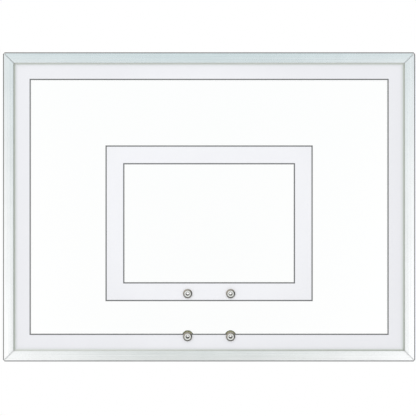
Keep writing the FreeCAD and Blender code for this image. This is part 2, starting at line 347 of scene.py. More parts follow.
@dataclass(frozen=True, kw_only=True)
class SatinExtrusion(Finish):
    """Clear anodised extrusion with fine lines along its run and painted shade on its rounded front edge."""

    # Colour of the painted shade on the rounded front edge.
    edge: Colour
    edge_inset: float = 4.3 * MM
    edge_depth: float = 4.6 * MM
    face_fade: float = 1.8 * MM
    side_fade: float = 3.6 * MM
    line_stretch: Triple = (2.5, 1500.0, 1.0)
    line_relief: Pair = (0.1, 0.03 * MM)
    band_stretch: Triple = (1.6, 330.0, 1.0)
    band_share: float = 0.7
    cloud_pitch: float = 14.0
    tone_range: Range = (0.33, 0.67)
    roughness: Range = (0.2, 0.34)

    def painted_edge_shade(self, graph: Graph) -> Socket:
        """Find the rounded front edge, which takes painted shade.

        Args:
            graph: Tree of the finish's material.

        Returns:
            Share of the painted shade.
        """
        axes = graph.axes(graph.object_place())
        inset = graph.inset(axes, BOARD.width / 2, BOARD.height / 2)
        depth = graph.math("SUBTRACT", axes["Y"], BOARD.frame_front)
        outer = graph.span(inset, 1.0, 0.0, self.edge_inset - self.face_fade, self.edge_inset)
        ahead = graph.span(depth, 1.0, 0.0, self.edge_depth - self.side_fade, self.edge_depth)
        return graph.math("MULTIPLY", outer, ahead)

    def paint(self, graph: Graph) -> None:
        """Lay the nodes.

        Args:
            graph: Tree of the finish's material.
        """
        run = graph.run_place()
        lines = graph.noise(run, self.line_stretch, FINE_DETAIL)
        bands = graph.noise(run, self.band_stretch, FINE_DETAIL)
        tone = graph.weigh(bands, graph.mottle(self.cloud_pitch), self.band_share)
        brushed = self.toned(graph, tone, *self.tone_range)
        graph.surface({
            # Painted shade darkens the rounded front edge.
            "Base Color": graph.blend(self.painted_edge_shade(graph), brushed, rgba(self.edge)),
            "Metallic": 1.0,
            "Roughness": graph.span(lines, *self.roughness),
            "Normal": graph.bump(lines, *self.line_relief),
        })


@dataclass(frozen=True, kw_only=True)
class TurnedSteel(Finish):
    """Plated steel with fine rings from turning and a slight tarnish."""

    plating_metal: float = 0.7
    tarnish_pitch: float = 260.0
    tarnish_range: Range = (0.35, 0.65)
    ring_stretch: Triple = (3.0, 3800.0, 1.0)
    ring_relief: Pair = (0.15, 0.02 * MM)
    roughness: Range = (0.22, 0.36)

    def colour(self, graph: Graph, across: Socket) -> Socket:
        """Tarnished colour of the plating."""
        return self.toned(graph, graph.mottle(self.tarnish_pitch, RICH_DETAIL), *self.tarnish_range)

    def metal(self, graph: Graph, across: Socket) -> Number:
        """How metallic the plating is: a little milky."""
        return self.plating_metal

    def dullness(self, graph: Graph, across: Socket) -> Number:
        """How much rougher a place is than the plating: no place here is."""
        return 0.0

    def paint(self, graph: Graph) -> None:
        """Lay the nodes.

        Args:
            graph: Tree of the finish's material.
        """
        run = graph.run_place()
        across = graph.axes(run)["Y"]
        rings = graph.noise(run, self.ring_stretch, FINE_DETAIL)
        plated = graph.span(rings, *self.roughness)
        graph.surface({
            "Base Color": self.colour(graph, across),
            "Metallic": self.metal(graph, across),
            "Roughness": graph.math("ADD", plated, self.dullness(graph, across)),
            "Normal": graph.bump(rings, *self.ring_relief),
        })


@dataclass(frozen=True, kw_only=True)
class BushingSteel(TurnedSteel):
    """Turned steel with painted shade on its bevel and in its bore, which is mapped below zero across the
    run.
    """

    # Colour of the painted shade in the bore.
    bore: Colour
    bore_dullness: float = 0.25
    # Colour of the painted shade on the bevel.
    bevel: Colour
    bevel_start: float
    bevel_end: float

    def title(self) -> str:
        """Name of the finish's material."""
        return self.slot + "_bevel_finish"

    def inside(self, graph: Graph, across: Socket) -> Socket:
        """Number that is one in the bore."""
        return graph.math("LESS_THAN", across, 0.0)

    def painted_bevel_shade(self, graph: Graph, across: Socket) -> Socket:
        """Number that is one on the bevel's stretch across the run."""
        past = graph.math("GREATER_THAN", across, self.bevel_start)
        return graph.math("MULTIPLY", past, graph.math("LESS_THAN", across, self.bevel_end))

    def colour(self, graph: Graph, across: Socket) -> Socket:
        """Colour of the plating, with painted shade on the bevel and in the bore."""
        # Painted shade darkens the bevel and the bore.
        outer = graph.blend(self.painted_bevel_shade(graph, across), super().colour(graph, across), rgba(self.bevel))
        return graph.blend(self.inside(graph, across), outer, rgba(self.bore))

    def metal(self, graph: Graph, across: Socket) -> Number:
        """How metallic the surface is: milky where it is plated, fully metallic on the bevel."""
        return graph.span(self.painted_bevel_shade(graph, across), self.plating_metal, 1.0)

    def dullness(self, graph: Graph, across: Socket) -> Number:
        """How much rougher a place is than the plating: only the bore is."""
        return graph.math("MULTIPLY", self.inside(graph, across), self.bore_dullness)


@dataclass(frozen=True, kw_only=True)
class SpangledSteel(Finish):
    """Hot dip galvanised steel: crystals of differing brightness and gloss."""

    crystal_pitch: float = 140.0
    crystal_share: float = 0.75
    grain_pitch: float = 1200.0
    grain_relief: Pair = (0.1, 0.03 * MM)
    roughness: Range = (0.34, 0.52)

    def paint(self, graph: Graph) -> None:
        """Lay the nodes.

        Args:
            graph: Tree of the finish's material.
        """
        inputs = {"Vector": graph.object_place(), "Scale": self.crystal_pitch, "Randomness": 1.0}
        crystal = graph.add("ShaderNodeTexVoronoi", inputs).outputs["Color"]
        value = graph.add("ShaderNodeSeparateColor", {0: crystal}).outputs[0]
        grain = graph.mottle(self.grain_pitch, FINE_DETAIL)
        graph.surface({
            "Base Color": self.toned(graph, graph.weigh(value, grain, self.crystal_share)),
            "Metallic": 1.0,
            "Roughness": graph.span(value, *self.roughness),
            "Normal": graph.bump(grain, *self.grain_relief),
        })


@dataclass(frozen=True, kw_only=True)
class GrainedStock(Finish):
    """Moulded, rolled or sheet stock: mottled and slightly grained."""

    mottle_pitch: float
    grain_pitch: float
    roughness: float
    metal: float = 0.0
    mottle_range: Range = (0.3, 0.7)
    roughness_spread: float = 0.08
    grain_relief: Pair = (0.2, 0.05 * MM)

    def colour(self, graph: Graph) -> Socket:
        """Mottled colour of the stock."""
        return self.toned(graph, graph.mottle(self.mottle_pitch, RICH_DETAIL), *self.mottle_range)

    def paint(self, graph: Graph) -> None:
        """Lay the nodes.

        Args:
            graph: Tree of the finish's material.
        """
        grain = graph.mottle(self.grain_pitch, FINE_DETAIL)
        smooth, rough = self.roughness - self.roughness_spread, self.roughness + self.roughness_spread
        graph.surface({
            "Base Color": self.colour(graph),
            "Metallic": self.metal,
            "Roughness": graph.span(grain, smooth, rough),
            "Normal": graph.bump(grain, *self.grain_relief),
        })


@dataclass(frozen=True, kw_only=True)
class CutFibre(GrainedStock):
    """Fibre sheet with a darker band at its outer edge."""

    edge: Colour = (0.045, 0.05, 0.035)
    edge_start: float = 6.8 * MM
    edge_end: float = 12.0 * MM
    edge_fade: float = 0.8 * MM

    def colour(self, graph: Graph) -> Socket:
        """Mix the mottled colour, dark along a stretch across the run at its outer edge.

        Args:
            graph: Tree of the finish's material.

        Returns:
            The colour.
        """
        across = graph.axes(graph.run_place())["Y"]
        into = graph.span(across, 0.0, 1.0, self.edge_start, self.edge_start + self.edge_fade)
        outer_band = graph.math("MULTIPLY", into, graph.math("LESS_THAN", across, self.edge_end))
        return graph.blend(outer_band, super().colour(graph), rgba(self.edge))


@dataclass(frozen=True, kw_only=True)
class TuckedVinyl(GrainedStock):
    """Vinyl with painted shade where it is tucked under the lip of the rail, and painted light on its level
    runs.
    """

    # Colour of the painted shade under the lip of the rail.
    painted_lip_shade: Colour = (0.4, 0.44, 0.39)
    lip_depth: float = -46.05 * MM
    clear_depth: float = -44.2 * MM
    # Colour of the painted light on the level runs.
    painted_shading_tone: Colour = (0.86, 0.88, 0.85)
    painted_light_above: float = 0.38
    painted_light_below: Range = (0.56, 0.16)
    painted_light_half: float = 350.0 * MM
    level_rise: float = 420.5 * MM
    level_fade: float = 1.5 * MM

    def colour(self, graph: Graph) -> Socket:
        """Mix the mottled colour: painted shade at the lip, and painted light on the level runs, strongest at
        the lower left.

        Args:
            graph: Tree of the finish's material.

        Returns:
            The colour.
        """
        axes = graph.axes(graph.object_place())
        clear = graph.span(axes["Y"], 0.0, 1.0, self.lip_depth, self.clear_depth)
        # Painted shade darkens the vinyl under the lip.
        stock = graph.blend(clear, rgba(self.painted_lip_shade), super().colour(graph))
        rise = graph.math("ABSOLUTE", axes["Z"])
        level = graph.span(rise, 0.0, 1.0, self.level_rise, self.level_rise + self.level_fade)
        upper = graph.math("GREATER_THAN", axes["Z"], 0.0)
        lower = graph.math("SUBTRACT", 1.0, upper)
        below = graph.span(axes["X"], *self.painted_light_below, -self.painted_light_half, self.painted_light_half)
        above = graph.math("MULTIPLY", upper, self.painted_light_above)
        lie = graph.math("ADD", above, graph.math("MULTIPLY", lower, below))
        # Painted light on the level runs, strongest at the lower left.
        return graph.blend(graph.math("MULTIPLY", level, lie), stock, rgba(self.painted_shading_tone))


CLEAR_GLASS = ClearGlass(slot="clear_glass", dark=(0.99, 1.0, 0.995), light=(0.998, 1.0, 0.999))
# The last colour of each enamel is the painted shade beside the gasket.
WHITE_ENAMEL = FiredEnamel(
    slot="white_enamel", dark=(0.83, 0.835, 0.868), light=(0.885, 0.89, 0.922), painted_shading_tone=(0.66, 0.69, 0.69))
DARK_ENAMEL = FiredEnamel(
    slot="dark_enamel", dark=(0.13, 0.134, 0.138), light=(0.16, 0.164, 0.168), painted_shading_tone=(0.13, 0.13, 0.13))
# The rail's edge colour is painted shade on its rounded front edge.
RAIL_ALUMINIUM = SatinExtrusion(
    slot="anodised_aluminium", dark=(0.85, 0.855, 0.86), light=(0.955, 0.957, 0.965),
    edge=(0.09, 0.093, 0.097))
KEY_ALUMINIUM = GrainedStock(
    slot="key_aluminium", dark=(0.62, 0.63, 0.64), light=(0.72, 0.73, 0.74),
    mottle_pitch=300.0, grain_pitch=1500.0, roughness=0.4, metal=1.0)
GASKET_VINYL = TuckedVinyl(
    slot="gasket_vinyl", dark=(0.58, 0.62, 0.575), light=(0.64, 0.68, 0.635),
    mottle_pitch=300.0, grain_pitch=1800.0, roughness=0.55)
PLATE_STEEL = SpangledSteel(slot="galvanised_steel", dark=(0.44, 0.46, 0.48), light=(0.68, 0.7, 0.72))
SCREW_STEEL = TurnedSteel(slot="zinc_steel", dark=(0.86, 0.855, 0.82), light=(0.97, 0.97, 0.955))
# The bushing's bore and bevel colours are painted shade.
BUSHING_STEEL = BushingSteel(
    slot="zinc_steel", dark=SCREW_STEEL.dark, light=SCREW_STEEL.light, bore=(0.3, 0.3, 0.275),
    bevel=(0.38, 0.37, 0.35), bevel_start=3.0 * MM, bevel_end=10.9 * MM)
NUT_STEEL = TurnedSteel(slot="yellow_zinc_steel", dark=(0.5, 0.44, 0.22), light=(0.7, 0.66, 0.4))
BLOCK_RUBBER = GrainedStock(
    slot="block_rubber", dark=(0.03, 0.03, 0.033), light=(0.06, 0.06, 0.065),
    mottle_pitch=250.0, grain_pitch=1600.0, roughness=0.7)
SLEEVE_NYLON = GrainedStock(
    slot="sleeve_nylon", dark=(0.72, 0.7, 0.62), light=(0.82, 0.81, 0.75),
    mottle_pitch=200.0, grain_pitch=1500.0, roughness=0.5)
WASHER_FIBRE = CutFibre(
    slot="washer_fibre", dark=(0.24, 0.235, 0.1), light=(0.38, 0.37, 0.18),
    mottle_pitch=420.0, grain_pitch=2400.0, roughness=0.6)


def eased_loop(corners: Sequence[Corner], steps: int) -> list[Place]:
    """Round the corners of a closed outline.

    Args:
        corners: Two coordinates and a radius for each corner.
        steps: Straight steps in each rounded corner.

    Returns:
        The points of the rounded outline.
    """
    points: list[Place] = []
    for index, (first, second, radius) in enumerate(corners):
        here = Vector((first, second))
        if radius <= 0:
            points.append((first, second))
            continue
        before = (Vector(corners[index - 1][:2]) - here).normalized()
        after = (Vector(corners[(index + 1) % len(corners)][:2]) - here).normalized()
        half = before.angle(after) / 2
        centre = here + (before + after).normalized() * (radius / math.sin(half))
        start = here + before * (radius / math.tan(half)) - centre
        end = here + after * (radius / math.tan(half)) - centre
        for step in range(steps + 1):
            arm = start.slerp(end, step / steps).normalized() * radius
            points.append(tuple(centre + arm))
    return points


def path_lengths(points: Sequence[Place]) -> list[float]:
    """Measure along a closed line of points.

    Args:
        points: The points in order.

    Returns:
        Distance of each point from the first, with the way back to the first at the end.
    """
    lengths = [0.0]
    for index, point in enumerate(points):
        following = points[(index + 1) % len(points)]
        lengths.append(lengths[-1] + math.dist(point, following))
    return lengths


def welded_copy(node: bpy.types.Object) -> bmesh.types.BMesh:
    """Copy the shape of a node of the model.

    Args:
        node: The node.

    Returns:
        Its shape, with the corners that its faces share joined.
    """
    shape = bmesh.new()
    shape.from_mesh(node.data)
    bmesh.ops.remove_doubles(shape, verts=shape.verts, dist=WELD)
    return shape


def plain_mesh(name: str, shape: bmesh.types.BMesh) -> bpy.types.Mesh:
    """Turn a built shape into a mesh and free the shape.

    Args:
        name: Name of the mesh.
        shape: The shape.

    Returns:
        The mesh.
    """
    mesh = bpy.data.meshes.new(name)
    shape.to_mesh(mesh)
    shape.free()
    return mesh


def finished_mesh(name: str, shape: bmesh.types.BMesh) -> bpy.types.Mesh:
    """Turn a built shape into a mesh that faces outwards and is smooth across its gentle edges.

    Args:
        name: Name of the mesh.
        shape: The shape, which is freed.

    Returns:
        The mesh.
    """
    bmesh.ops.recalc_face_normals(shape, faces=shape.faces)
    if shape.calc_volume(signed=True) < 0:
        bmesh.ops.reverse_faces(shape, faces=shape.faces)
    for face in shape.faces:
        face.smooth = True
    mesh = plain_mesh(name, shape)
    mesh.set_sharp_from_angle(angle=SMOOTH_LIMIT)
    return mesh


def map_grid(face: bmesh.types.BMFace, layer: bmesh.types.BMLayerItem, corners: Sequence[Place]) -> None:
    """Give a face its places along and across the run."""
    for loop, place in zip(face.loops, corners):
        loop[layer].uv = place


def ringed_mesh(
    name: str, rings: Sequence[RingLine], segments: int, capped: bool = False, bored: float = 0.0
) -> bpy.types.Mesh:
    """Build a piece from rings about the Y axis.

    Args:
        name: Name of the mesh.
        rings: For each ring, a function from its angle to a radius and a Y.
        segments: Steps round each ring.
        capped: Whether the first and last ring are closed by a face, or joined to each other.
        bored: Length of the bore from the first ring on; it is mapped below zero.

    Returns:
        The mesh, mapped round and across its rings.
    """
    shape = bmesh.new()
    layer = shape.loops.layers.uv.new(RUN_MAP)
    grid = []
    for ring in rings:
        row = []
        for step in range(segments):
            turn = 2 * math.pi * step / segments
            radius, y = ring(turn)
            row.append(shape.verts.new((radius * math.cos(turn), y, radius * math.sin(turn))))
        grid.append(row)
    across = path_lengths([ring(0.0) for ring in rings])
    joins = len(rings) - 1 if capped else len(rings)
    for index in range(joins):
        first, second = grid[index], grid[(index + 1) % len(rings)]
        low, high = across[index] - bored, across[index + 1] - bored
        for step in range(segments):
            after = (step + 1) % segments
            face = shape.faces.new((first[step], first[after], second[after], second[step]))
            start, end = step / segments, (step + 1) / segments
            map_grid(face, layer, ((start, low), (end, low), (end, high), (start, high)))
    if capped:
        shape.faces.new(grid[0])
        shape.faces.new(grid[-1])
    return finished_mesh(name, shape)


def plain_ring(radius: float, y: float) -> RingLine:
    """Round ring."""
    return lambda turn: (radius, y)


def hexagon_reach(width: float, turn: float) -> float:
    """Distance from the axis to the wall of a hexagon of this width across its flats."""
    return width / 2 / math.cos((turn % SIXTH_TURN) - SIXTH_TURN / 2)


def hexagon_ring(width: float, y: float, cone: float, lean: float) -> RingLine:
    """Six-sided ring on a hexagon's wall, drawn back where a cone cuts its corners.

    Args:
        width: Size across the flats.
        y: Level of the ring where the cone doesn't reach it.
        cone: Radius at which the cone starts.
        lean: How far the ring moves along Y for each step outside that radius.

    Returns:
        The ring.
    """
    return lambda turn: (
        hexagon_reach(width, turn),
        y + lean * max(0.0, hexagon_reach(width, turn) - cone),
    )


def show(item: bpy.types.Object) -> None:
    """Link an object into the scene."""
    bpy.context.scene.collection.objects.link(item)


def add_piece(name: str, mesh: bpy.types.Mesh, finish: Finish, *nodes: str) -> None:
    """Place a finished mesh in the scene as a piece that stands for its nodes.

    Args:
        name: Name of the piece.
        mesh: Its mesh, in place.
        finish: Its finish.
        nodes: The nodes of the model that it stands for.
    """
    mesh.materials.clear()
    mesh.materials.append(finish.material())
    piece = bpy.data.objects.new(name, mesh)
    show(piece)
    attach(piece, BODY)
    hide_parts(*nodes)
    LOG.info("%s: %d faces, stands for %s", name, len(mesh.polygons), ", ".join(nodes))


def dress_node(node: bpy.types.Object, finish: Finish) -> None:
    """Give a node of the model its finish and leave its shape.

    Args:
        node: The node.
        finish: Its finish.
    """
    node.data.materials.clear()
    node.data.materials.append(finish.material())
    LOG.info("%s: dressed as %s", node.name, finish.slot)


@dataclass
class SideSweep:
    """A section carried along one side of the frame between two mitres."""

    board: Board
    corner_radius: float
    ease: float
    corner_steps: int = 6

    def end_stations(self, inward: float, length: float, reach: float) -> list[Place]:
        """Places of one section point at the left end of the bottom side, from the mitre inward.

        Args:
            inward: The point's distance from the outer face.
            length: Length of the side.
            reach: Distance of the outer face from the middle.

        Returns:
            Places along X and Z.
        """
        set_back = self.board.mitre_gap / math.sqrt(2)
        radius = max(0.0, self.corner_radius - inward)
        centre = max(self.corner_radius, inward)
        places = []
        for step in range(-1, self.corner_steps + 1):
            turn = math.pi / 4 * (1 - max(step, 0) / self.corner_steps)
            along = centre - radius * math.sin(turn)
            inset = centre - radius * math.cos(turn)
            least = inset + set_back + (0.0 if step < 0 else self.ease * math.sqrt(2))
            places.append((max(along, least) - length / 2, inset - reach))
        return places

    def mesh(self, name: str, side: Side, section: Sequence[Place]) -> bpy.types.Mesh:
        """Carry a section along a side.

        Args:
            name: Name of the mesh.
            side: Side of the frame.
            section: Closed line of (inward, depth) points.

        Returns:
            The mesh in its place, mapped along and across its run.
        """
        length, reach = self.board.run(side)
        shape = bmesh.new()
        layer = shape.loops.layers.uv.new(RUN_MAP)
        grid: list[list[bmesh.types.BMVert]] = []
        for inward, depth in section:
            left = self.end_stations(inward, length, reach)
            places = left + [(-x, z) for x, z in reversed(left)]
            row = []
            for index, (x, z) in enumerate(places):
                at_mitre = index in (0, len(places) - 1)
                y = self.board.frame_front + (max(depth, self.ease) if at_mitre else depth)
                row.append(shape.verts.new((x, y, z)))
            grid.append(row)
        across = path_lengths(section)
        for index, row in enumerate(grid):
            following = grid[(index + 1) % len(grid)]
            low, high = across[index], across[index + 1]
            for step in range(len(row) - 1):
                face = shape.faces.new((row[step], row[step + 1], following[step + 1], following[step]))
                start, end = row[step].co.x, row[step + 1].co.x
                map_grid(face, layer, ((start, low), (end, low), (end, high), (start, high)))
        shape.faces.new([row[0] for row in grid])
        shape.faces.new([row[-1] for row in grid])
        bmesh.ops.remove_doubles(shape, verts=shape.verts, dist=FINE_WELD)
        bmesh.ops.dissolve_degenerate(shape, edges=shape.edges, dist=FINE_WELD)
        shape.transform(Matrix.Rotation(math.radians(side.value), 4, "Y"))
        return finished_mesh(name, shape)


@dataclass
class RailFrame:
    """Four mitred lengths of the frame extrusion."""

    board: Board
    depth: float = 44.45 * MM
    front_radius: float = 4.5 * MM
    edge_radius: float = 0.6 * MM
    corner_radius: float = 7.0 * MM
    mitre_ease: float = 1.0 * MM
    groove_half: float = 1.3 * MM
    groove_depth: float = 1.0 * MM
    slot_width: float = 8.6 * MM
    small_radius: float = 0.4 * MM
    steps: int = 8

    def section(self) -> list[Place]:
        """Draw the rail's section: lip, glass pocket, web and slotted chamber.

        Returns:
            Closed line of (inward, depth) points.
        """
        face = self.board.rail_face
        wall = self.board.rail_wall
        small = self.small_radius
        web = wall + self.board.pocket
        middle = face - self.board.rib_inset
        near, far = middle + self.groove_half, middle - self.groove_half
        front = wall - self.groove_depth
        back = web + self.groove_depth
        slot_in = face / 2 + self.slot_width / 2
        slot_out = face / 2 - self.slot_width / 2
        chamber_front = web + wall
        chamber_rear = self.depth - wall
        chamber_in = face - wall
        corners = [
            (0, 0, self.front_radius), (face, 0, self.edge_radius), (face, wall, small),
            (near, wall, 0), (near, front, 0), (far, front, 0), (far, wall, 0),
            (wall, wall, small), (wall, web, small),
            (far, web, 0), (far, back, 0), (near, back, 0), (near, web, 0),
            (face, web, small), (face, self.depth, small),
            (slot_in, self.depth, small), (slot_in, chamber_rear, 0), (chamber_in, chamber_rear, small),
            (chamber_in, chamber_front, small), (wall, chamber_front, small), (wall, chamber_rear, small),
            (slot_out, chamber_rear, 0), (slot_out, self.depth, small), (0, self.depth, self.edge_radius),
        ]
        return eased_loop(corners, self.steps)

    def build(self) -> None:
        """Make the four rails."""
        sweep = SideSweep(self.board, self.corner_radius, self.mitre_ease)
        section = self.section()
        for side in Side:
            name = side.word + "_rail"
            add_piece("dressed_" + name, sweep.mesh(name, side, section), RAIL_ALUMINIUM, name)


@dataclass
class GasketRuns:
    """Vinyl channel round the glass edge, with a rounded bead on each leg."""

    board: Board
    bead_width: float = 4.0 * MM
    bead_tip: float = 1.0 * MM
    bead_crown: float = 0.8 * MM
    wall: float = 3.2 * MM
    rib_half: float = 1.2 * MM
    rib_height: float = 0.9 * MM
    bead_steps: int = 8

    def leg(self, face: float, outward: int) -> list[Place]:
        """One leg's points, from the back of the channel round the bead to the glass edge.

        Args:
            face: Depth of the leg's face against the rail.
            outward: Which way the leg faces along the depth.

        Returns:
            Points of the leg.
        """
        glass = face - outward * (self.wall - self.board.touch)
        crest = face + outward * self.rib_height
        edge = self.board.glass_edge
        lip = self.board.rail_face
        rib = lip - self.board.rib_inset
        tip = lip + self.bead_width
        start = Vector((lip, face))
        crown = Vector((tip - self.bead_crown, face))
        end = Vector((tip, glass + outward * self.bead_tip))
        points = [(edge - self.wall, face), (rib - self.rib_half, face), (rib - self.rib_half, crest)]
        points += [(rib + self.rib_half, crest), (rib + self.rib_half, face)]
        for step in range(self.bead_steps + 1):
            share = step / self.bead_steps
            bead = start.lerp(crown, share).lerp(crown.lerp(end, share), share)
            points.append(tuple(bead))
        return points + [(tip, glass), (edge - self.board.touch, glass)]

    def build(self) -> None:
        """Make the four runs."""
        sweep = SideSweep(self.board, 0.0, 0.0)
        front = self.leg(self.board.rail_wall, -1)
        rear = self.leg(self.board.rail_wall + self.board.pocket, 1)
        for side in Side:
            name = side.word + "_gasket"
            add_piece("dressed_" + name, sweep.mesh(name, side, front + rear[::-1]), GASKET_VINYL, name)


@dataclass
class Glazing:
    """Glass panel and the rubber blocks that keep it off the rails."""

    panel: str = "glass_panel"
    blocks: tuple[str, ...] = ("setting_blocks", "side_blocks")

    def build(self, nodes: dict[str, bpy.types.Object]) -> None:
        """Dress the panel, which casts no shadow, and its blocks.

        Args:
            nodes: The nodes of the model by name.
        """
        dress_node(nodes[self.panel], CLEAR_GLASS)
        nodes[self.panel].visible_shadow = False
        for name in self.blocks:
            dress_node(nodes[name], BLOCK_RUBBER)


@dataclass
class Markings:
    """Fired enamel bands and lines on the front of the glass."""

    board: Board
    white: tuple[str, ...] = ("border_stripe", "target_stripe")
    dark: tuple[str, ...] = ("border_keyline", "target_outer_keyline", "target_inner_keyline")

    def lifted(self, node: bpy.types.Object) -> bpy.types.Mesh:
        """Copy a marking with its rear face just clear of the glass.

        Args:
            node: The marking's node.

        Returns:
            The mesh.
        """
        shape = welded_copy(node)
        for vert in shape.verts:
            vert.co.y = min(vert.co.y, self.board.glass_front - self.board.touch)
        return plain_mesh(node.name, shape)

    def build(self, nodes: dict[str, bpy.types.Object]) -> None:
        """Make every marking from its node.

        Args:
            nodes: The nodes of the model by name.
        """
        for names, finish in ((self.white, WHITE_ENAMEL), (self.dark, DARK_ENAMEL)):
            for name in names:
                add_piece("dressed_" + name, self.lifted(nodes[name]), finish, name)


class PlacedSet:
    """Geometry Nodes tree that stands copies of one piece at the corners of rectangles facing along Y."""

    def __init__(self, name: str, rectangles: int) -> None:
        """Build the tree.

        Args:
            name: Name of the tree.
            rectangles: How many rectangles of places it has.
        """
        self.tree = bpy.data.node_groups.new(name, "GeometryNodeTree")
        self.keys: dict[str, str] = {}
        self.graph = Graph(self.tree)
        self._input("Piece", "NodeSocketObject")
        self._input("Finish", "NodeSocketMaterial")
        self._input("Turn Range", "NodeSocketFloat")
        self._input("Seed", "NodeSocketInt")
        for index in range(rectangles):
            for size in ("Width", "Height", "Rise"):
                self._input(f"{size} {index}", "NodeSocketFloat")
        self.tree.interface.new_socket(name="Geometry", in_out="OUTPUT", socket_type="NodeSocketGeometry")
        self._lay(rectangles)

    def _input(self, name: str, kind: str) -> None:
        """Add a named input and keep its identifier."""
        socket = self.tree.interface.new_socket(name=name, in_out="INPUT", socket_type=kind)
        self.keys[name] = socket.identifier

    def _lay(self, rectangles: int) -> None:
        """Lay the tree's nodes.

        Args:
            rectangles: How many rectangles of places it has.
        """
        graph = self.graph
        given = graph.add("NodeGroupInput").outputs
        places = graph.add("GeometryNodeJoinGeometry")
        for index in range(rectangles):
            grid = graph.add("GeometryNodeMeshGrid", {
                "Size X": given[f"Width {index}"],
                "Size Y": given[f"Height {index}"],
                "Vertices X": 2,
                "Vertices Y": 2,
            })
            rise = graph.add("ShaderNodeCombineXYZ", {"Z": given[f"Rise {index}"]})
            upright = graph.add("GeometryNodeTransform", {
                "Geometry": grid.outputs["Mesh"],
                "Translation": rise.outputs[0],
                "Rotation": (QUARTER_TURN, 0.0, 0.0),
            })
            self.tree.links.new(upright.outputs[0], places.inputs[0])
        draw = {3: given["Turn Range"], "Seed": given["Seed"]}
        turn = graph.add("FunctionNodeRandomValue", draw, data_type="FLOAT")
        about = graph.add("ShaderNodeCombineXYZ", {"Y": turn.outputs[1]})
        piece = graph.add("GeometryNodeObjectInfo", {"Object": given["Piece"]})
        copies = graph.add("GeometryNodeInstanceOnPoints", {
            "Points": places.outputs[0],
            "Instance": piece.outputs["Geometry"],
            "Rotation": about.outputs[0],
        })
        solid = graph.add("GeometryNodeRealizeInstances", {0: copies.outputs[0]})
        coated = graph.add("GeometryNodeSetMaterial", {
            "Geometry": solid.outputs[0],
            "Material": given["Finish"],
        })
        graph.add("NodeGroupOutput", {0: coated.outputs[0]})

    def mesh(self, name: str, base: bpy.types.Mesh, values: dict[str, Any]) -> bpy.types.Mesh:
        """Stand the copies and return them as one plain mesh.

        Args:
            name: Name of the mesh.
            base: Mesh of one copy, about the origin.
            values: Values of the tree's inputs by name.

        Returns:
            The mesh of all the copies.
        """
        model = bpy.data.objects.new(name + "_one", base)
        holder = bpy.data.objects.new(name + "_set", bpy.data.meshes.new(name + "_empty"))
        for item in (model, holder):
            show(item)
        modifier = holder.modifiers.new("Places", "NODES")
        modifier.node_group = self.tree
        for key, value in {**values, "Piece": model}.items():
            modifier[self.keys[key]] = value
        depsgraph = bpy.context.evaluated_depsgraph_get()
        mesh = bpy.data.meshes.new_from_object(holder.evaluated_get(depsgraph))
        mesh.name = name
        holder.modifiers.remove(modifier)
        for item in (holder, model):
            bpy.data.objects.remove(item)
        return mesh


